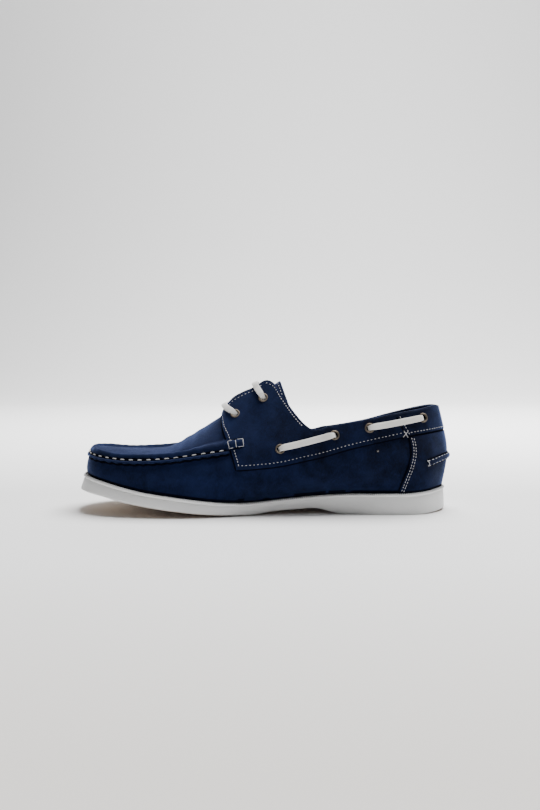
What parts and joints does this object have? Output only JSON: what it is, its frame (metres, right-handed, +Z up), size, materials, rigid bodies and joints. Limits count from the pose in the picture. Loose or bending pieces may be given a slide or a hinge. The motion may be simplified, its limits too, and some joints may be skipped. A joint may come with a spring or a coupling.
{
  "type": "boat shoe loafer",
  "caption": "Right boat-shoe loafer: navy nubuck moccasin upper with a raised toe seam, side lacing through brass eyelets, white rubber unit sole.",
  "frame": {"origin": "on the floor under the middle of the shoe's box", "axes": "+Z up, the toe towards -X and the heel towards +X, the medial side towards -Y and the lateral side towards +Y"},
  "size_m": [0.2996, 0.1018, 0.1039],
  "materials": {
    "upper_nubuck": "matt navy nubuck",
    "overlay_nubuck": "matt navy nubuck",
    "lining": "soft navy lining leather",
    "insole_leather": "smooth tan sock leather",
    "outsole_rubber": "matt white rubber",
    "lace_leather": "smooth off-white lace leather",
    "thread": "off-white waxed thread",
    "eyelet_brass": "antique brass"
  },
  "bodies": {
    "root": {"collar_back": "overlay_nubuck", "counter": "overlay_nubuck", "eyelet_heel_lateral": "eyelet_brass", "eyelet_heel_medial": "eyelet_brass", "eyelet_side_front_lateral": "eyelet_brass", "eyelet_side_front_medial": "eyelet_brass", "eyelet_side_middle_lateral": "eyelet_brass", "eyelet_side_middle_medial": "eyelet_brass", "eyelet_side_rear_lateral": "eyelet_brass", "eyelet_side_rear_medial": "eyelet_brass", "eyelet_throat_high_lateral": "eyelet_brass", "eyelet_throat_high_medial": "eyelet_brass", "eyelet_throat_low_lateral": "eyelet_brass", "eyelet_throat_low_medial": "eyelet_brass", "eyestay_lateral": "overlay_nubuck", "eyestay_medial": "overlay_nubuck", "heel_roll": "upper_nubuck", "insole": "insole_leather", "lace_front_lateral": "lace_leather", "lace_front_medial": "lace_leather", "lace_rear_lateral": "lace_leather", "lace_rear_medial": "lace_leather", "lace_throat_high": "lace_leather", "lace_throat_low": "lace_leather", "moc_seam_ridge": "upper_nubuck", "outsole": "outsole_rubber", "seam_tab_lateral": "upper_nubuck", "seam_tab_medial": "upper_nubuck", "tongue": "upper_nubuck", "upper": "upper_nubuck"}
  },
  "joints": []
}
